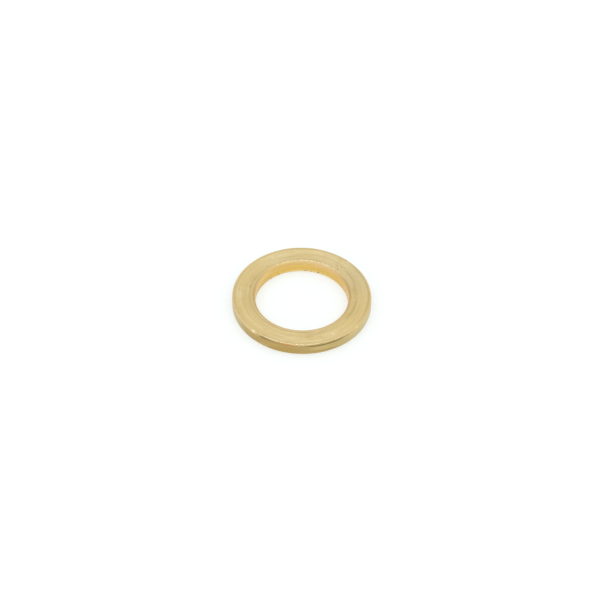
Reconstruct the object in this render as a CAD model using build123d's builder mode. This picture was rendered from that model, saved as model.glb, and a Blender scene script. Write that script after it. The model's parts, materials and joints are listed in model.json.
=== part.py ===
from build123d import *
import os

# Flat washer, turned from solid brass bar: one ring with a plain round bore and
# flat faces. The bore is rounded over at both mouths, less at the bottom than at
# the top, and the outside has a narrow 45 degree bevel at both faces.
#
# Millimetres, +Z up along the bore. The origin is the centre of the face that
# the washer rests on.

# Driving dimensions
outer_diameter = 19.8
bore_diameter = 13.2  # clears an M12 screw
thickness = 1.9
rim_bevel = 0.26  # along the face and down the side
top_mouth_radius = 0.55  # rounding of the bore's upper mouth
bottom_mouth_radius = 0.25  # rounding of its lower mouth

outer_radius = outer_diameter / 2
bore_radius = bore_diameter / 2

os.makedirs("parts", exist_ok=True)

with BuildPart() as washer:
    # The disc as it is parted off the bar
    with BuildSketch(Plane.XY):
        Circle(outer_radius)
    extrude(amount=thickness)

    # The bore, drilled and reamed right through
    Hole(bore_radius)

    # The mouths of the bore are the smallest circles, and each gets its own rounding
    mouths = washer.edges().filter_by(GeomType.CIRCLE).group_by(SortBy.RADIUS)[0]
    bottom_mouth, top_mouth = mouths.sort_by(Axis.Z)
    fillet(top_mouth, radius=top_mouth_radius)
    fillet(bottom_mouth, radius=bottom_mouth_radius)

    # Both outside corners, which are the largest circles, are bevelled
    corners = washer.edges().filter_by(GeomType.CIRCLE).group_by(SortBy.RADIUS)[-1]
    chamfer(corners, length=rim_bevel)

washer.part.label = "washer"
export_step(washer.part, "parts/washer.step")

wall_length = thickness - top_mouth_radius - bottom_mouth_radius
wall_middle = bottom_mouth_radius + wall_length / 2
face_outer = outer_radius - rim_bevel
print(f"washer {outer_diameter} x {bore_diameter} x {thickness} mm")
print(f"straight bore wall {wall_length:.2f} mm long, its middle {wall_middle:.2f} mm up")
print(f"top flat from radius {bore_radius + top_mouth_radius:.2f} to {face_outer:.2f} mm")
print(f"bottom flat from radius {bore_radius + bottom_mouth_radius:.2f} to {face_outer:.2f} mm")
print(f"volume {washer.part.volume:.1f} mm3")
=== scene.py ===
# %% [markdown]
# # A turned brass washer
#
# A flat washer is the plainest part in the drawer: one ring of brass that spreads the load of a
# screw head. Its looks all come from how it was made. A lathe faced it, which left fine rings, a
# reamer finished the bore, and a hand-held tool touched the rim so that it doesn't cut the
# fingers. This lesson makes those marks in the order in which the workshop makes them.

# %% Load the fixed CAD frame
import json
import math

import bpy
import numpy as np
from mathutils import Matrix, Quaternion, Vector


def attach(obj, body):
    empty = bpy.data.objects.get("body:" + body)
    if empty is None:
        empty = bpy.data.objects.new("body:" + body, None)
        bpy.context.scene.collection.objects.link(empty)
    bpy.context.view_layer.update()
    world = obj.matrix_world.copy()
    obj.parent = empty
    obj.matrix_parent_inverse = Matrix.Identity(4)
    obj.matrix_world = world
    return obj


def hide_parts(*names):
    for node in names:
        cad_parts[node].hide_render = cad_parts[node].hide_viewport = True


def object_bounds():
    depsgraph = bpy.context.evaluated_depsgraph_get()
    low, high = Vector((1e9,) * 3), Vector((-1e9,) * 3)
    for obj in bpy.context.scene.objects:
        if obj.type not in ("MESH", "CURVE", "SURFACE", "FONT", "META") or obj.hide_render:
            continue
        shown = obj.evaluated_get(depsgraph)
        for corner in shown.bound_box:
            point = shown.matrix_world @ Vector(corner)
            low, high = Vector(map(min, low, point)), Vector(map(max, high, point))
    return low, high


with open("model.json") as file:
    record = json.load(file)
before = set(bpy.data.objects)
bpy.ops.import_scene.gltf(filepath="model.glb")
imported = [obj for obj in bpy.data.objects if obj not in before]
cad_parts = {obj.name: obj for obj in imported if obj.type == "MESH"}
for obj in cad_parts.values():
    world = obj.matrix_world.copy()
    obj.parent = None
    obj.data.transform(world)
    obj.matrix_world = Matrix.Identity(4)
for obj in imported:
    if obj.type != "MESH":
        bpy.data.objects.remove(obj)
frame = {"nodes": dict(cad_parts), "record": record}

cad_low, cad_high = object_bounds()
print("CAD box, mm:", [round(side * 1000, 3) for side in cad_high - cad_low])

# %% [markdown]
# ## Read the sizes from the CAD part
#
# Nothing is measured twice. The outside and the thickness come from the CAD box, the bore from
# the part's own mount, and the bevel and the rounded mouths of the bore from where the flat of
# each face starts and ends. They are kept in metres, because that is what Blender works in here.

# %% Sizes of the washer
MM = 0.001
TOUCHING = 0.001 * MM

cad_points = np.array([v.co for v in frame["nodes"]["washer"].data.vertices])
cad_radii = np.hypot(cad_points[:, 0], cad_points[:, 1])
on_top = cad_points[:, 2] > cad_high.z - TOUCHING
on_bottom = cad_points[:, 2] < cad_low.z + TOUCHING

outer_radius = (cad_high.x - cad_low.x) / 2
thickness = cad_high.z - cad_low.z
bore_mount = next(m for m in frame["record"]["mounts"] if m["name"] == "bore")
bore_radius = bore_mount["dims"]["r_mm"] * MM
top_inner = cad_radii[on_top].min()
bottom_inner = cad_radii[on_bottom].min()
face_outer = cad_radii[on_top].max()
bevel = outer_radius - face_outer
top_mouth = top_inner - bore_radius
bottom_mouth = bottom_inner - bore_radius

for name, value in (
    ("outer radius", outer_radius),
    ("bore radius", bore_radius),
    ("thickness", thickness),
    ("bevel of the rim", bevel),
    ("rounding of the upper mouth", top_mouth),
    ("rounding of the lower mouth", bottom_mouth),
):
    print(f"{name}: {value / MM:.3f} mm")

# %% [markdown]
# ## Draw the section
#
# Cut the ring through and the metal shows as a small rectangle, bevelled on its outer side and
# rounded on its inner side. That section is the same all the way round, so it is drawn once, as
# six corner points, and swept round the axis. A Screw modifier could sweep it too, but every ring
# of points is wanted by hand afterwards, to press the tool marks into it, so arrays do the sweep.
#
# Even the edges of the bevel get a small radius. A perfectly sharp edge has no surface that faces
# between its two sides, and so it never catches the light the way that a real edge does.

# %% Helpers for the section
def straight_run(start, end, count):
    """Points along a straight run, leaving out both of its ends."""
    share = np.linspace(0, 1, count + 2)[1:-1, None]
    return start * (1 - share) + end * share


def corner_arc(before, corner, after, radius, count):
    """Points round one corner, from the end of one run to the start of the next."""
    arriving = (before - corner) / np.linalg.norm(before - corner)
    leaving = (after - corner) / np.linalg.norm(after - corner)
    half_angle = math.acos(arriving @ leaving) / 2
    inward = (arriving + leaving) / np.linalg.norm(arriving + leaving)
    centre = corner + inward * radius / math.sin(half_angle)
    reach = radius / math.tan(half_angle)
    first = corner + arriving * reach - centre
    last = corner + leaving * reach - centre
    turn = math.pi - 2 * half_angle
    share = np.linspace(0, 1, count)[:, None]
    swing = np.sin((1 - share) * turn) * first + np.sin(share * turn) * last
    return centre + swing / math.sin(turn)


# %% [markdown]
# ## Set how the faces were cut
#
# A facing tool moves a fixed feed outwards on each turn, and its round nose leaves a shallow
# trough every time, with a crest between two troughs. The trough's depth follows from the feed
# and the nose: feed squared over eight nose radii, a few thousandths of a millimetre. That is
# too small to see as a shape, but it bends the reflections, and it is what makes a turned face
# look turned. Three points for each trough are enough to hold it.

# %% The feed marks
FEED = 0.092 * MM
NOSE_RADIUS = 0.4 * MM
POINTS_PER_TROUGH = 3

FACE_INNER = {"top_face": top_inner, "bottom_face": bottom_inner}
troughs = {face: round((face_outer - inner) / FEED) for face, inner in FACE_INNER.items()}
face_points = {face: count * POINTS_PER_TROUGH - 1 for face, count in troughs.items()}
trough_depth = FEED**2 / (8 * NOSE_RADIUS)
print("troughs:", troughs, f"{trough_depth / MM * 1000:.1f} thousandths of a mm deep")

# %% [markdown]
# Now the section can be drawn. It goes round from the upper mouth of the bore, and each corner is
# rounded by its own radius. Every point is labelled with the surface that it lies on, and the
# labels decide later which marks and which finish it gets.

# %% The section, corner by corner
FACE_EDGE_RADIUS = 0.12 * MM
SIDE_EDGE_RADIUS = 0.08 * MM

# corner as (radius, height), its rounding, points and surface, then the run after it
SECTION = (
    ((bore_radius, thickness), top_mouth, 13, "mouth", "top_face", face_points["top_face"]),
    ((face_outer, thickness), FACE_EDGE_RADIUS, 5, "bevel", "bevel", 2),
    ((outer_radius, thickness - bevel), SIDE_EDGE_RADIUS, 5, "bevel", "rim", 15),
    ((outer_radius, bevel), SIDE_EDGE_RADIUS, 5, "bevel", "bevel", 2),
    ((face_outer, 0.0), FACE_EDGE_RADIUS, 5, "bevel", "bottom_face", face_points["bottom_face"]),
    ((bore_radius, 0.0), bottom_mouth, 7, "mouth", "bore", 12),
)

corners = [np.array(row[0]) for row in SECTION]
arcs = [
    corner_arc(corners[i - 1], corners[i], corners[(i + 1) % len(corners)], *SECTION[i][1:3])
    for i in range(len(corners))
]
section = []
surfaces = []
for i, (_, _, arc_points, arc_surface, run_surface, run_points) in enumerate(SECTION):
    next_arc = arcs[(i + 1) % len(arcs)]
    section += [*arcs[i], *straight_run(arcs[i][-1], next_arc[0], run_points)]
    surfaces += [arc_surface] * (arc_points - 1) + [run_surface] * (run_points + 1)
section = np.array(section)
surfaces = np.array(surfaces)
print(len(section), "points in the section")

# %% [markdown]
# ## Press the tool marks into the surface
#
# Every point of the swept section is moved a little along its own outward direction. How far is
# kept in one array, a row for each ring of points and a column for each step round the axis, and
# each cause adds its own share to it. A Displace modifier could do this from a texture, but the
# marks of a lathe are easier to say as sums over rings. The first causes are the feed of the tool,
# and a slower waver under it that comes from the slide and the bar giving way a little.

# %% Directions, and a wander round the circle
SEGMENTS = 384
random = np.random.default_rng(12)
angles = np.linspace(0, 2 * math.pi, SEGMENTS, endpoint=False)


def waver(steady, swing, waves, fewest, most):
    """Steady, give or take about swing: a sum of waves, each with fewest to most crests."""
    total = np.zeros(SEGMENTS)
    for _ in range(waves):
        crests = random.integers(fewest, most + 1)
        total += np.cos(crests * angles + random.uniform(0, 2 * math.pi))
    wander = total / math.sqrt(waves * 2)
    return steady + swing * wander


# each row: steady part, swing, how many waves, fewest and most crests round the circle
SLOW_GIVE = (0.6, 0.4, 3, 1, 4)
WALL_GIVE = (0.7, 0.3, 3, 1, 5)
UNSTEADY_HAND = (0.5, 0.5, 4, 2, 18)
RATTLE = (0.0, 1.0, 5, 70, 120)
TORN_EDGE = (0.6, 0.6, 6, 40, 110)

ahead = np.roll(section, -1, axis=0) - section
behind = section - np.roll(section, 1, axis=0)
along = ahead / np.linalg.norm(ahead, axis=1)[:, None]
along += behind / np.linalg.norm(behind, axis=1)[:, None]
along /= np.linalg.norm(along, axis=1)[:, None]
outward = np.stack([-along[:, 1], along[:, 0]], axis=1)
press = np.zeros((len(section), SEGMENTS))
print("marks are kept in", press.shape[0], "rings of", press.shape[1], "points")

# %% The troughs of the feed, and the slow waver under them
WAVER_LENGTHS = (1.3 * MM, 0.74 * MM, 0.47 * MM, 0.33 * MM)
WAVER_SLOPE = 0.05
FADE_AT_EDGE = 0.15 * MM
SHALLOWEST, DEEPEST = 0.6, 1.5  # how a trough's depth varies from one turn to the next


def cut_face(surface):
    """Feed troughs and slow waver on one face, fading out at its edges."""
    rows = np.flatnonzero(surfaces == surface)
    radii = section[rows, 0]
    step = np.arange(len(rows)) % POINTS_PER_TROUGH / POINTS_PER_TROUGH
    own_depth = random.uniform(SHALLOWEST, DEEPEST, troughs[surface] + 1)
    own_depth = np.repeat(own_depth, POINTS_PER_TROUGH)[: len(rows)]
    trough = -trough_depth * own_depth * 4 * step * (1 - step)
    edge_distance = np.minimum(radii - FACE_INNER[surface], face_outer - radii)
    inside = np.clip(edge_distance / FADE_AT_EDGE, 0, 1)
    press[rows] += (trough * inside)[:, None]
    for length in WAVER_LENGTHS:
        height = WAVER_SLOPE * length / (2 * math.pi) * inside
        wave = np.sin(2 * math.pi * radii / length + random.uniform(0, 2 * math.pi))
        strength = waver(*SLOW_GIVE)
        press[rows] += np.outer(height * wave, strength)


for face in FACE_INNER:
    cut_face(face)
print(f"faces cut, deepest mark {-press.min() / MM:.4f} mm")

# %% [markdown]
# The side wall and the bore were cut along the axis, so their marks run round the washer too.
# They are finer than those of the faces: the wall is the drawn skin of the bar, skimmed once, and
# the bore was reamed. Each ring of points goes in or out by one random amount, which grows and
# fades a little on its way round.

# %% The marks of the side wall and the bore
RIM_MARK = 0.0022 * MM
BORE_MARK = 0.0012 * MM

for surface, mark in (("rim", RIM_MARK), ("bore", BORE_MARK)):
    for row in np.flatnonzero(surfaces == surface):
        press[row] += mark * random.uniform(-1, 1) * waver(*WALL_GIVE)
    print(f"{surface}: marks up to {mark / MM:.4f} mm")

# %% [markdown]
# ## Touch the edges by hand
#
# The bevel was not cut with the faces. A tool was held against the spinning ring, so it bit more
# here and less there, and for a sixth of a turn it chattered. What it pushed aside stands up as a
# fine burr along the edge of the face, and the bore has one a little way down its upper mouth. The
# burr is what draws the bright broken line round a real washer; here that line is also laid on as
# a painted highlight, in the finishes of the bevel and the bore.

# %% The uneven bevel and the chatter
BEVEL_WAVER = 0.016 * MM
BEVEL_REACH = 0.16 * MM
CHATTER = 0.006 * MM
CHATTER_ELSEWHERE = 0.2
CHATTER_FROM_TO = (222, 282)  # degrees round the washer

chatter_middle = math.radians(sum(CHATTER_FROM_TO) / 2)
chatter_half = math.radians((CHATTER_FROM_TO[1] - CHATTER_FROM_TO[0]) / 2)
off_middle = np.abs((angles - chatter_middle + math.pi) % (2 * math.pi) - math.pi)
chatter_share = np.clip(2 * (1 - off_middle / chatter_half), 0, 1)

# the corners outside the bore are those of the bevels
for corner in corners:
    distance = np.hypot(*(section - corner).T)
    near = np.exp(-((distance / BEVEL_REACH) ** 2))
    if corner[0] > bore_radius:
        bite = BEVEL_WAVER * waver(*UNSTEADY_HAND)
        bite += CHATTER * (CHATTER_ELSEWHERE + chatter_share) * waver(*RATTLE)
        press -= np.outer(near, bite)
print("chatter over", round(math.degrees(2 * chatter_half)), "degrees")

# %% The burrs
BURR_HEIGHT = 0.012 * MM
BURR_WIDTH = 0.05 * MM
LIP_TURN = math.radians(12)  # how far round the upper mouth its burr stands

lip_radius = top_inner - top_mouth * math.sin(LIP_TURN)
lip_height = thickness - top_mouth * (1 - math.cos(LIP_TURN))
for burr_radius, burr_height in ((lip_radius, lip_height), (face_outer, thickness)):
    print(f"burr at radius {burr_radius / MM:.2f} mm, {burr_height / MM:.3f} mm up")
    distance = np.hypot(section[:, 0] - burr_radius, section[:, 1] - burr_height)
    near = np.exp(-((distance / BURR_WIDTH) ** 2))
    rag = np.clip(waver(*TORN_EDGE), 0, 1)
    press += np.outer(near, BURR_HEIGHT * rag)

# %% [markdown]
# Where the reamer broke out underneath, it tore a few small nicks into the lower mouth of the
# bore. Each is a dent with a soft edge, set by its place round the washer, its width and depth.

# %% The nicks in the lower mouth of the bore
NICKS = (
    # degrees round the washer, how wide, how deep
    (21, 0.14 * MM, 0.07 * MM),
    (33, 0.11 * MM, 0.07 * MM),
    (70, 0.12 * MM, 0.09 * MM),
    (79, 0.08 * MM, 0.05 * MM),
    (86, 0.11 * MM, 0.07 * MM),
    (121, 0.08 * MM, 0.05 * MM),
    (133, 0.10 * MM, 0.06 * MM),
    (159, 0.12 * MM, 0.06 * MM),
    (214, 0.12 * MM, 0.05 * MM),
)
NICK_REACH = 0.18 * MM

# they sit where the wall of the bore turns into the rounding of its lower mouth
mouth_distance = np.hypot(section[:, 0] - bore_radius, section[:, 1] - bottom_mouth)
for angle, width, depth in NICKS:
    off = (angles - math.radians(angle) + math.pi) % (2 * math.pi) - math.pi
    round_the_bore = np.exp(-((off * bore_radius / width) ** 2))
    down_the_wall = np.exp(-((mouth_distance / NICK_REACH) ** 2))
    press -= depth * np.outer(down_the_wall, round_the_bore)

print(f"deepest mark {-press.min() / MM:.3f} mm, highest {press.max() / MM:.3f} mm")

# %% [markdown]
# ## Sweep the section into a ring
#
# Each section point becomes a ring of points, and neighbouring rings are joined by four-sided
# faces. The last ring joins the first, so the mesh closes on itself and holds a true volume. No
# height may pass the two faces of the CAD part, so that the washer still stands flat.

# %% The washer's mesh
radii = section[:, :1] + outward[:, :1] * press
heights = section[:, 1:] + outward[:, 1:] * press
heights = np.clip(heights, 0, thickness)
points = np.stack([radii * np.cos(angles), radii * np.sin(angles), heights], axis=2)

rings = len(section)
ring, segment = np.meshgrid(np.arange(rings), np.arange(SEGMENTS), indexing="ij")
next_ring = (ring + 1) % rings
next_segment = (segment + 1) % SEGMENTS
quads = np.stack(
    [
        ring * SEGMENTS + segment,
        next_ring * SEGMENTS + segment,
        next_ring * SEGMENTS + next_segment,
        ring * SEGMENTS + next_segment,
    ],
    axis=2,
)

mesh = bpy.data.meshes.new("turned_washer")
mesh.from_pydata(points.reshape(-1, 3).tolist(), [], quads.reshape(-1, 4).tolist())
washer = bpy.data.objects.new("turned_washer", mesh)
bpy.context.scene.collection.objects.link(washer)
mesh.shade_smooth()
print(len(mesh.vertices), "points,", len(mesh.polygons) * 2, "triangles")

# %% [markdown]
# ## Mix the brass
#
# Bare brass is a metal, so its colour is the colour of its reflections and nothing shows through
# from below. What changes from one surface to the next is how the cutter left it: how rough it
# is, which way the lines run, and how much it has dulled in the air. Each finish is therefore
# the same recipe with its own numbers, and the recipe needs to know where it is on the washer:
# how far from the axis, how high, and which way round.

# %% Helpers for shader nodes
def add_node(tree, kind, inputs=None, **settings):
    """A node with its settings and inputs. An input that is a socket is linked."""
    made = tree.nodes.new(kind)
    for name, value in settings.items():
        setattr(made, name, value)
    for key, value in (inputs or {}).items():
        if isinstance(value, bpy.types.NodeSocket):
            tree.links.new(value, made.inputs[key])
        else:
            made.inputs[key].default_value = value
    return made


def arithmetic(tree, operation, *values):
    """One step of arithmetic on sockets or numbers."""
    return add_node(tree, "ShaderNodeMath", dict(enumerate(values)), operation=operation).outputs[0]


def vector_step(tree, operation, inputs, output=0):
    """One step of vector arithmetic."""
    return add_node(tree, "ShaderNodeVectorMath", inputs, operation=operation).outputs[output]


def stretch(tree, value, low, high, to_low=0.0, to_high=1.0):
    """Maps low..high smoothly to to_low..to_high."""
    made = add_node(
        tree,
        "ShaderNodeMapRange",
        {"Value": value, "From Min": low, "From Max": high, "To Min": to_low, "To Max": to_high},
        interpolation_type="SMOOTHSTEP",
    )
    return made.outputs["Result"]


def blend_colour(tree, share, first, second):
    """Goes from the first colour to the second as share goes from 0 to 1."""
    return add_node(tree, "ShaderNodeMix", {0: share, 6: first, 7: second}, data_type="RGBA").outputs[2]


# %% [markdown]
# Everything on a lathe happens at some distance from the axis or some height along it, so the
# finish asks for its place in those terms. The marks themselves are noise. If noise is read with
# the distance from the axis stretched a lot and the direction round it hardly at all, its blobs
# are drawn out into long lines that run round the washer, as a cutter's do.

# %% Where a point is on the washer
def lathe_place(tree):
    """Distance from the axis and height, both in millimetres, and the direction round the axis."""
    place = add_node(tree, "ShaderNodeTexCoord").outputs["Object"]
    in_mm = vector_step(tree, "SCALE", {0: place, "Scale": 1 / MM})
    parts = add_node(tree, "ShaderNodeSeparateXYZ", {0: in_mm}).outputs
    flat = add_node(tree, "ShaderNodeCombineXYZ", {0: parts[0], 1: parts[1]}).outputs[0]
    return {
        "mm": in_mm,
        "radius": vector_step(tree, "LENGTH", {0: flat}, "Value"),
        "height": parts[2],
        "round": vector_step(tree, "NORMALIZE", {0: flat}),
    }


# %% Lines that run round the washer, and clouds that don't
LINE_FINENESS = 0.6
CLOUD_FINENESS = 0.55


def turned_lines(tree, place, across, per_mm, breaks, detail, seed):
    """Noise drawn out into lines round the axis. breaks says how soon a line fades out."""
    turned = vector_step(tree, "SCALE", {0: place["round"], "Scale": breaks})
    parts = add_node(tree, "ShaderNodeSeparateXYZ", {0: turned}).outputs
    scaled = arithmetic(tree, "MULTIPLY_ADD", place[across], per_mm, seed)
    where = add_node(tree, "ShaderNodeCombineXYZ", {0: scaled, 1: parts[0], 2: parts[1]})
    lines = add_node(
        tree,
        "ShaderNodeTexNoise",
        {"Vector": where.outputs[0], "Scale": 1.0, "Detail": detail, "Roughness": LINE_FINENESS},
    )
    return lines.outputs["Fac"]


def clouds(tree, place, per_mm, detail):
    """Soft patches of no direction, such as tarnish and handling leave."""
    return add_node(
        tree,
        "ShaderNodeTexNoise",
        {"Vector": place["mm"], "Scale": per_mm, "Detail": detail, "Roughness": CLOUD_FINENESS},
    ).outputs["Fac"]


# %% [markdown]
# Wear isn't even, and nor is the light on a small shiny ring, so the recipe also takes a list of
# patches: some are wear, and some are painted shade, painted reflections and painted highlights. A
# patch is a soft oval that lies along the cut. It could be painted on an image, but a washer has no
# sensible flat unwrapping, and a worked-out patch stays sharp however close one looks. A ragged
# factor frays its edge.

# %% One patch that lies along the cut
ALL_ROUND = math.inf
FULL_UP_TO = 0.05  # of the squared distance from a patch's middle to its edge


def patch_share(tree, place, across, middle, angle, half_width, half_length, ragged):
    """1 in the middle of a patch and 0 outside it, in millimetres. ragged frays its edge."""
    turn = math.radians(angle)
    toward = (math.cos(turn), math.sin(turn), 0)
    from_middle = arithmetic(tree, "SUBTRACT", place[across], middle)
    from_middle = arithmetic(tree, "DIVIDE", from_middle, half_width)
    gap = arithmetic(tree, "MULTIPLY", from_middle, from_middle)
    if half_length != ALL_ROUND:
        # for a small turn, 2 * (1 - cosine) is the turn squared; walls are measured at the outside
        radius = middle if across == "radius" else outer_radius / MM
        cosine = vector_step(tree, "DOT_PRODUCT", {0: place["round"], 1: toward}, "Value")
        from_cosine = arithmetic(tree, "SUBTRACT", 1.0, cosine)
        gap = arithmetic(tree, "MULTIPLY_ADD", from_cosine, 2 * (radius / half_length) ** 2, gap)
    gap = arithmetic(tree, "MULTIPLY", gap, ragged)
    return stretch(tree, gap, FULL_UP_TO, 1.0, 1.0, 0.0)


# %% [markdown]
# The recipe lays three sizes of line over each other: wide bands, lines, and hair-fine scratches.
# They mix a bright and a dull brass, vary the roughness a little, and raise a slight relief. Then
# come the patches, and last the edges, which are painted highlights along the burrs, patches broken
# into dashes. The roughness and the relief could be painted too, but lines of noise give both the
# same grain.

# %% The numbers of the recipe
# each row: lines to a millimetre, how soon they break off, fine detail, where the noise starts
BANDS = (2.6, 0.9, 2.0, 3.0)
LINES = (11.0, 2.4, 3.0, 40.0)
HAIR = (34.0, 5.0, 2.0, 90.0)
DASHES = (1.0, 26.0, 2.0, 7.0)

# each row: blotches to a millimetre, fine detail
TARNISH = (0.45, 3.0)
GRAIN = (9.0, 2.0)

BAND_SHARE, LINE_SHARE, HAIR_SHARE = 0.4, 0.4, 0.2
WARMER = (1.08, 0.97, 0.80, 1.0)
TARNISH_SHARE = 0.6
LINE_RELIEF = 0.7

# noise hovers round a half, and each effect starts and is full at its own two values
NOISE_RANGE = (0.3, 0.7)
ROUGHNESS_RANGE = (0.25, 0.75)
TARNISH_RANGE = (0.55, 0.75)
DASH_RANGE = (0.42, 0.60)

# what the lowest and highest noise make of each effect
ROUGHER, SMOOTHER = 1.25, 0.8
GRAIN_ROUGHNESS = (-0.03, 0.03)
FRAYED = (0.5, 1.7)
STREAKED = (0.6, 1.3)
print("lines to a millimetre:", [row[0] for row in (BANDS, LINES, HAIR)])


# %% Laying patches over a colour
def lay_patches(tree, place, across, colour, patches, ragged, broken):
    """Lays the tone of each patch over a colour. ragged frays the patches, broken breaks them up."""
    for middle, angle, half_width, half_length, strength, tone in patches:
        share = patch_share(tree, place, across, middle, angle, half_width, half_length, ragged)
        share = arithmetic(tree, "MULTIPLY", share, broken)
        share = arithmetic(tree, "MULTIPLY", share, strength)
        colour = blend_colour(tree, share, colour, (*tone, 1.0))
    return colour


# %% The recipe for brass
def brass(name, across, bright, dull, roughness, mark_depth, patches=(), edges=()):
    """Bare brass with lines along the cut. across says which way the lines are crossed."""
    material = bpy.data.materials.new(name)
    material.use_nodes = True
    tree = material.node_tree
    shader = tree.nodes["Principled BSDF"]
    shader.inputs["Metallic"].default_value = 1.0
    place = lathe_place(tree)

    bands = turned_lines(tree, place, across, *BANDS)
    lines = turned_lines(tree, place, across, *LINES)
    hair = turned_lines(tree, place, across, *HAIR)
    tarnish = clouds(tree, place, *TARNISH)
    grain = clouds(tree, place, *GRAIN)

    clean = arithmetic(tree, "MULTIPLY", stretch(tree, bands, *NOISE_RANGE), BAND_SHARE)
    clean = arithmetic(tree, "MULTIPLY_ADD", stretch(tree, lines, *NOISE_RANGE), LINE_SHARE, clean)
    clean = arithmetic(tree, "MULTIPLY_ADD", stretch(tree, hair, *NOISE_RANGE), HAIR_SHARE, clean)
    colour = blend_colour(tree, clean, dull, bright)
    tarnished = tuple(part * warmer for part, warmer in zip(dull, WARMER))
    blotches = stretch(tree, tarnish, *TARNISH_RANGE, 0.0, TARNISH_SHARE)
    colour = blend_colour(tree, blotches, colour, tarnished)
    rough = stretch(tree, lines, *ROUGHNESS_RANGE, roughness * ROUGHER, roughness * SMOOTHER)
    rough = arithmetic(tree, "ADD", rough, stretch(tree, grain, *NOISE_RANGE, *GRAIN_ROUGHNESS))

    ragged = stretch(tree, grain, *NOISE_RANGE, *FRAYED)
    streaks = stretch(tree, lines, *NOISE_RANGE, *STREAKED)
    colour = lay_patches(tree, place, across, colour, patches, ragged, streaks)
    # the edges are painted highlights, broken into dashes
    if edges:
        dashes = stretch(tree, turned_lines(tree, place, across, *DASHES), *DASH_RANGE)
        colour = lay_patches(tree, place, across, colour, edges, 1.0, dashes)

    tree.links.new(colour, shader.inputs["Base Color"])
    tree.links.new(rough, shader.inputs["Roughness"])
    relief = arithmetic(tree, "MULTIPLY_ADD", lines, LINE_RELIEF, hair)
    bump = add_node(tree, "ShaderNodeBump", {"Height": relief, "Distance": mark_depth})
    tree.links.new(bump.outputs[0], shader.inputs["Normal"])
    print(f"{name}: {len(tree.nodes)} nodes, {len(patches)} patches, {len(edges)} broken edges")
    return material


# %% [markdown]
# ## The finish of the faces
#
# The faces are satin, with fine rings, and the air has dulled some rings more than others. Over
# the rings lie broad areas that handling has left paler, broad yellower areas at the two sides
# that are painted shade, standing in for the dimmer sideways reflections of a turned face, a pale
# area at the left that is a painted reflection, shorter dull streaks, and a few small pits from
# the bar. All of these are patches of the same kind: a place, a width across the rings, a length
# along them, and a tone. Most are weak, so that they read as wear and not as paint. The underside
# gets the same finish, because it was cut in the same way.

# %% Rings and broad areas of the faces
DULLED = (0.42, 0.31, 0.125)
GREYED = (0.62, 0.51, 0.285)
YELLOW_PAINTED_SHADE_AND_SHEEN = (0.69, 0.52, 0.22)
RUBBED = (0.82, 0.69, 0.40)
PALE_TONE_AND_SHEEN = (0.74, 0.635, 0.41)

# each row: distance from the axis, degrees round, half width, half length, how strong, tone
DULL_RINGS = (
    (7.33, 0, 0.14, ALL_ROUND, 0.34, DULLED),
    (7.75, 0, 0.60, ALL_ROUND, 0.10, DULLED),
    (7.98, 0, 0.14, ALL_ROUND, 0.16, DULLED),
    (8.32, 0, 0.12, ALL_ROUND, 0.10, DULLED),
    (9.47, 0, 0.14, ALL_ROUND, 0.16, DULLED),
)
BROAD_TONES = (
    # painted shade: the yellower areas at the sides of the faces
    (8.50, 342, 1.90, 7.00, 0.62, YELLOW_PAINTED_SHADE_AND_SHEEN),
    (8.50, 205, 1.90, 6.00, 0.42, YELLOW_PAINTED_SHADE_AND_SHEEN),
    (8.50, 152, 1.90, 4.20, 0.50, YELLOW_PAINTED_SHADE_AND_SHEEN),
    (8.40, 56, 1.60, 4.00, 0.25, PALE_TONE_AND_SHEEN),
    (8.60, 24, 1.80, 4.40, 0.55, GREYED),
    (8.30, 118, 1.60, 3.50, 0.30, RUBBED),
    # a painted reflection on the left of the face
    (8.90, 180, 0.55, 1.00, 0.45, PALE_TONE_AND_SHEEN),
    (8.63, 120, 0.38, 0.45, 0.60, RUBBED),
    (8.68, 301, 0.38, 0.45, 0.70, RUBBED),
    (8.73, 258, 0.30, 1.60, 0.40, RUBBED),
)
print(len(DULL_RINGS), "dull rings and", len(BROAD_TONES), "broad areas")

# %% Streaks and pits of the faces
PIT = (0.10, 0.065, 0.025)

# rows as for the rings
DULL_STREAKS = (
    (7.73, 340, 0.26, 3.00, 0.55, DULLED),
    (8.40, 340, 0.20, 2.60, 0.28, DULLED),
    (9.52, 345, 0.20, 5.50, 0.28, DULLED),
    (9.52, 22, 0.20, 5.00, 0.34, DULLED),
    (7.95, 28, 0.20, 2.00, 0.38, DULLED),
    (7.64, 10, 0.28, 2.60, 0.34, DULLED),
    (7.42, 190, 0.30, 7.50, 0.24, DULLED),
    (8.25, 193, 0.22, 3.60, 0.18, DULLED),
    (7.50, 158, 0.36, 3.00, 0.22, DULLED),
    (7.66, 292, 0.20, 1.10, 0.24, DULLED),
    (7.50, 278, 0.20, 1.00, 0.20, DULLED),
)
PITS = (
    (7.54, 168, 0.13, 0.14, 0.60, PIT),
    (8.12, 166, 0.09, 0.34, 0.35, PIT),
    (9.58, 173, 0.12, 0.12, 0.50, PIT),
    (7.13, 17, 0.12, 0.17, 0.50, PIT),
    (7.06, 3, 0.11, 0.15, 0.50, PIT),
    (8.04, 46, 0.12, 0.13, 0.60, PIT),
    (7.80, 50, 0.13, 0.13, 0.60, PIT),
    (7.36, 47, 0.09, 0.34, 0.50, PIT),
    (9.52, 49, 0.09, 0.20, 0.45, PIT),
    (9.47, 237, 0.09, 0.10, 0.45, PIT),
    (9.58, 203, 0.08, 0.30, 0.35, PIT),
    (8.55, 270, 0.10, 0.10, 0.50, PIT),
    (7.40, 116, 0.09, 0.09, 0.45, PIT),
)
print(len(DULL_STREAKS), "dull streaks and", len(PITS), "pits")

# %% The finish of the faces, mixed
face_finish = brass(
    "brass_faced",
    across="radius",
    bright=(0.88, 0.705, 0.378, 1),
    dull=(0.585, 0.445, 0.206, 1),
    roughness=0.30,
    mark_depth=0.0012 * MM,
    patches=DULL_RINGS + BROAD_TONES + DULL_STREAKS + PITS,
)
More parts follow.
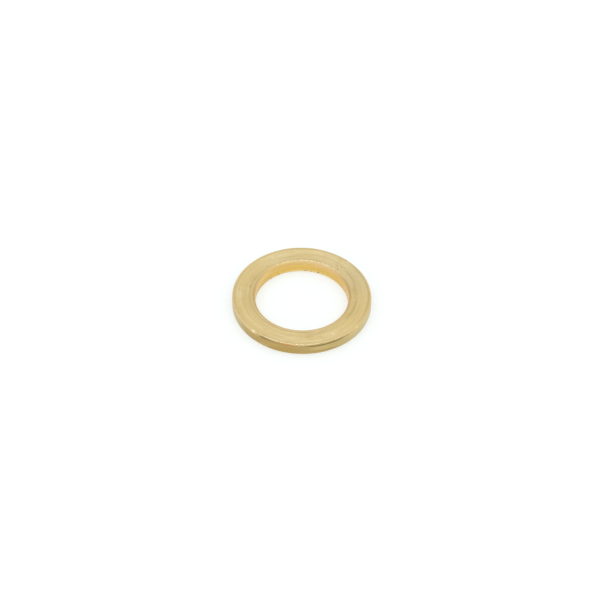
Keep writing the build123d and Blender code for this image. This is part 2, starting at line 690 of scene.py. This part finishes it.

# %% [markdown]
# ## The finish of the bevel
#
# The hand-held tool left the bevel uneven. The patches of tone along it are painted light: painted
# dark reflections, a painted coppery reflection, and painted highlights at two spots. Along the
# front of its upper edge a fine bright line, broken into dashes, is a painted highlight of the burr.

# %% The bevel
DARK_PAINTED_REFLECTION = (0.21, 0.15, 0.045)
COPPERY_PAINTED_REFLECTION = (0.54, 0.30, 0.105)
WARM_PAINTED_HIGHLIGHT = (0.88, 0.69, 0.27)
BRIGHT_PAINTED_HIGHLIGHT = (0.97, 0.85, 0.55)
BEVEL_MIDDLE = (thickness - bevel / 2) / MM
BEVEL_LOW = (thickness - bevel * 0.8) / MM
BEVEL_HALF = 0.6 * bevel / MM

# each row: height, degrees round, half width, half length at the outside, how strong, tone
BEVEL_PATCHES = (
    # painted dark reflections, and a painted coppery reflection
    (BEVEL_LOW, 291, BEVEL_HALF, 5.1, 0.97, DARK_PAINTED_REFLECTION),
    (BEVEL_LOW, 251, BEVEL_HALF, 4.2, 0.84, DARK_PAINTED_REFLECTION),
    (BEVEL_LOW, 238, BEVEL_HALF, 1.3, 0.40, DARK_PAINTED_REFLECTION),
    (BEVEL_LOW, 257, BEVEL_HALF, 2.4, 1.00, COPPERY_PAINTED_REFLECTION),
    # painted highlights: a glint, and a bright spot with a broad yellow painted sheen round it
    (BEVEL_MIDDLE, 227, BEVEL_HALF, 0.45, 0.80, BRIGHT_PAINTED_HIGHLIGHT),
    (BEVEL_MIDDLE, 322, BEVEL_HALF, 2.2, 0.50, YELLOW_PAINTED_SHADE_AND_SHEEN),
    (BEVEL_MIDDLE, 323, BEVEL_HALF, 0.5, 0.90, WARM_PAINTED_HIGHLIGHT),
)
# a painted highlight: the bright broken line of the burr along the bevel's upper edge
BEVEL_EDGE_HIGHLIGHT = ((thickness / MM, 262, 0.07, 6.5, 1.0, BRIGHT_PAINTED_HIGHLIGHT),)
bevel_finish = brass(
    "brass_bevelled",
    across="height",
    bright=(0.81, 0.63, 0.325, 1),
    dull=(0.63, 0.465, 0.205, 1),
    roughness=0.24,
    mark_depth=0.0010 * MM,
    patches=BEVEL_PATCHES,
    edges=BEVEL_EDGE_HIGHLIGHT,
)

# %% [markdown]
# ## The finish of the side wall
#
# The side wall still has the skin of the drawn bar, darker and yellower than a fresh cut, and part
# of that darkness is painted shade, standing in for the shaded table close to the washer that the
# wall mirrors. It has paler stretches where it was skimmed, warmer ones where it wasn't, and short
# dull streaks. The bevel's painted dark reflections run on a little way below the bevel, so two
# patches of the bevel's darkest tone overlap the wall's upper edge.

# %% The side wall
WARM_SKIN = (0.50, 0.32, 0.10)
AMBER_SKIN = (0.59, 0.36, 0.115)
PALE_SKIN = (0.68, 0.55, 0.26)

# rows as for the bevel
RIM_PATCHES = (
    # the bevel's painted dark reflections, run on below it
    (BEVEL_LOW, 292, 0.14, 4.6, 0.45, DARK_PAINTED_REFLECTION),
    (BEVEL_LOW, 251, 0.14, 3.8, 0.35, DARK_PAINTED_REFLECTION),
    (1.15, 287, 0.50, 2.4, 0.50, PALE_SKIN),
    (0.75, 255, 1.00, 3.2, 0.60, WARM_SKIN),
    (0.95, 326, 1.40, 6.6, 0.75, PALE_SKIN),
    (0.95, 203, 1.40, 3.5, 0.40, PALE_SKIN),
    (0.90, 234, 1.30, 3.2, 0.35, AMBER_SKIN),
    (1.20, 236, 0.30, 1.5, 0.45, DULLED),
    (0.45, 226, 0.30, 1.8, 0.35, DULLED),
    (1.30, 216, 0.25, 1.3, 0.40, DULLED),
    (0.60, 240, 0.25, 1.0, 0.30, PALE_SKIN),
    (1.00, 308, 0.35, 1.6, 0.30, DULLED),
)
rim_finish = brass(
    "brass_side_wall",
    across="height",
    # darker than the faces, partly as painted shade for the dim table close by, which the wall mirrors
    bright=(0.59, 0.43, 0.175, 1),
    dull=(0.40, 0.27, 0.09, 1),
    roughness=0.28,
    mark_depth=0.0012 * MM,
    patches=RIM_PATCHES,
)

# %% [markdown]
# ## The finish of the bore
#
# The bore is the most golden. Its mouth has a faint rosy cast, a painted reflection of the bright
# table further from the wall, and its wall is deep yellow, which is painted bounce light: part of
# the light that reaches it has already bounced off the wall across from it. Blender works such
# bounces out, but only a little of them shows here, so the tone helps. Each nick gets a dark spot
# in the place where it was dented, and the upper mouth gets its own broken bright line, a painted
# highlight of its burr.

# %% The bore
GOLDEN = (0.77, 0.51, 0.13)
ROSY = (0.665, 0.50, 0.25)
ROSY_GLOW = (0.86, 0.61, 0.34)
BRIGHTER_MOUTH = (0.96, 0.79, 0.42)
GLINT = (1.0, 0.91, 0.64)
NICK_DARKENING = 0.82
NICK_DARKENING_REACH = 1.9  # half the height of a nick's dark spot, for each width of the nick

# rows as for the bevel
BORE_PATCHES = [
    # the golden lower wall is painted bounce light, and the rosy top of the bore a painted reflection
    (0.60, 0, 1.22, ALL_ROUND, 0.95, GOLDEN),
    (thickness / MM, 0, 0.24, ALL_ROUND, 0.85, ROSY),
    (1.58, 152, 0.34, 5.00, 0.40, BRIGHTER_MOUTH),
    (1.72, 128, 0.30, 7.00, 0.35, GOLDEN),
    (1.62, 60, 0.30, 6.00, 0.30, ROSY_GLOW),
    (bottom_mouth / MM, 85, 0.30, 12.00, 0.50, BRIGHTER_MOUTH),
]
# a dark spot on each nick, where it was dented
BORE_PATCHES += [
    (bottom_mouth / MM, angle, NICK_DARKENING_REACH * width / MM, NICK_DARKENING_REACH * width / MM, NICK_DARKENING, PIT)
    for angle, width, _ in NICKS
]
# a painted highlight: the broken bright line of the upper mouth's burr
BORE_LIP_HIGHLIGHT = ((lip_height / MM, 84, 0.016, 11.0, 1.0, GLINT),)
bore_finish = brass(
    "brass_reamed_bore",
    across="height",
    bright=(0.83, 0.60, 0.27, 1),
    dull=(0.72, 0.495, 0.205, 1),
    roughness=0.33,
    mark_depth=0.0006 * MM,
    patches=BORE_PATCHES,
    edges=BORE_LIP_HIGHLIGHT,
)

# %% [markdown]
# ## Give each surface its finish
#
# Here the labels of the section come back: the strip of mesh after each ring of points takes the
# finish of that ring's surface. A mask could blend one finish into the next, but on a turned part
# one cut ends where the next begins, so each strip has just one. Last, the ring is made to stand
# for the CAD washer.

# %% Each finish to its own surface
finish_of = {
    "top_face": face_finish,
    "bottom_face": face_finish,
    "bevel": bevel_finish,
    "rim": rim_finish,
    "mouth": bore_finish,
    "bore": bore_finish,
}
finishes = [face_finish, bevel_finish, rim_finish, bore_finish]
for finish in finishes:
    mesh.materials.append(finish)
slots = [finishes.index(finish_of[surface]) for surface in surfaces for _ in range(SEGMENTS)]
mesh.polygons.foreach_set("material_index", slots)
mesh.update()

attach(washer, "root")
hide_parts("washer")
print("finishes:", [finish.name for finish in finishes])

# %% [markdown]
# ## The table and the light
#
# A small shiny ring shows its surroundings, so they matter as much as the metal. The table is
# white card, which glows a little, as a light table does: that keeps it white and its shade
# faint.

# %% The table
TABLE_HALF = 2.0
TABLE_GAP = 0.01 * MM
CARD_TONE = (0.50, 0.50, 0.50, 1)
CARD_GLOW_TONE = (0.94, 1.0, 0.998, 1)
CARD_GLOW = 0.55
CARD_ROUGHNESS = 0.9
CARD_SHINE = 0.1

table_corners = [(-1, -1), (1, -1), (1, 1), (-1, 1)]
table_mesh = bpy.data.meshes.new("table")
table_mesh.from_pydata(
    [(x * TABLE_HALF, y * TABLE_HALF, -TABLE_GAP) for x, y in table_corners], [], [(0, 1, 2, 3)]
)
table = bpy.data.objects.new("table", table_mesh)
bpy.context.scene.collection.objects.link(table)
card = bpy.data.materials.new("white_card")
card.use_nodes = True
card_inputs = card.node_tree.nodes["Principled BSDF"].inputs
card_inputs["Base Color"].default_value = CARD_TONE
card_inputs["Emission Color"].default_value = CARD_GLOW_TONE
card_inputs["Emission Strength"].default_value = CARD_GLOW
card_inputs["Roughness"].default_value = CARD_ROUGHNESS
card_inputs["Specular IOR Level"].default_value = CARD_SHINE
table_mesh.materials.append(card)
print("table:", 2 * TABLE_HALF, "m square")

# %% [markdown]
# The light is a tent of white cloth round the table, a little brighter overhead, where the lamp
# shines through it, and a little dimmer at its two far corners, where the cloth hangs in folds.
# Lamps of a given size could do this as well, but a ring this small mirrors all of what is round
# it, so it is simpler to give every direction of the world its own brightness. Only reflections
# see that: to the camera the world is plain white, like the card.

# %% The light tent
TENT_WALL = 1.02
TENT_TOP = 1.15
TENT_TOP_FROM_TO = (0.66, 0.92)  # height of a direction, as the sine of its elevation
TENT_TONE = (0.985, 1.0, 1.0, 1)
DIM_SIDES = (
    # toward, where the dimming starts and is full, as cosines, and what is left of the light
    ((0.60, 0.57, 0.56), 0.84, 0.97, 0.75),
    ((-0.60, 0.57, 0.56), 0.84, 0.97, 0.72),
)

world = bpy.data.worlds.new("light_tent")
bpy.context.scene.world = world
world.use_nodes = True
tent = world.node_tree
direction = add_node(tent, "ShaderNodeTexCoord").outputs["Generated"]
up = add_node(tent, "ShaderNodeSeparateXYZ", {0: direction}).outputs[2]
glow = stretch(tent, up, *TENT_TOP_FROM_TO, TENT_WALL, TENT_TOP)
for toward, start, full, left in DIM_SIDES:
    unit = Vector(toward).normalized()
    lean = vector_step(tent, "DOT_PRODUCT", {0: direction, 1: unit}, "Value")
    glow = arithmetic(tent, "MULTIPLY", glow, stretch(tent, lean, start, full, 1.0, left))
seen = add_node(tent, "ShaderNodeLightPath").outputs["Is Camera Ray"]
strength = add_node(tent, "ShaderNodeMix", {0: seen, 2: glow, 3: 1.0}).outputs[0]
tent.nodes["Background"].inputs["Color"].default_value = TENT_TONE
tent.links.new(strength, tent.nodes["Background"].inputs["Strength"])
print("tent:", TENT_WALL, "at the wall,", TENT_TOP, "at the top,", len(DIM_SIDES), "dimmer corners")

# %% [markdown]
# ## Place the camera
#
# The camera looks down at the front of the washer from halfway up, with a long lens, so that the
# ring reads as an even ellipse. It aims at the middle of the washer, all but a hair, and it is
# rolled by little more than a degree, as a hand-held camera is.

# %% The camera
CAMERA_ELEVATION = 45.65
CAMERA_ROLL = 1.3
CAMERA_DISTANCE = 0.35
LENS_MM = 147.6
SENSOR_MM = 36.0
NEAREST, FURTHEST = 0.01, 10.0
AIM_RIGHT = -0.25 * MM
AIM_UP = -0.025 * MM

centre = (cad_low + cad_high) / 2
lift = math.radians(CAMERA_ELEVATION)
towards_camera = Vector((0, -math.cos(lift), math.sin(lift)))
camera_up = Vector((0, math.sin(lift), math.cos(lift)))
camera_data = bpy.data.cameras.new("camera")
camera_data.lens = LENS_MM
camera_data.sensor_width = SENSOR_MM
camera_data.clip_start = NEAREST
camera_data.clip_end = FURTHEST
camera = bpy.data.objects.new("camera", camera_data)
bpy.context.scene.collection.objects.link(camera)
aim = centre + Vector((AIM_RIGHT, 0, 0)) + camera_up * AIM_UP
camera.location = aim + towards_camera * CAMERA_DISTANCE
camera.rotation_mode = "QUATERNION"
level = (-towards_camera).to_track_quat("-Z", "Y")
camera.rotation_quaternion = level @ Quaternion((0, 0, 1), math.radians(CAMERA_ROLL))
bpy.context.scene.camera = camera
bpy.context.scene.view_settings.view_transform = "Standard"
print(f"camera {CAMERA_DISTANCE} m away, {CAMERA_ELEVATION} degrees up, {LENS_MM} mm lens")
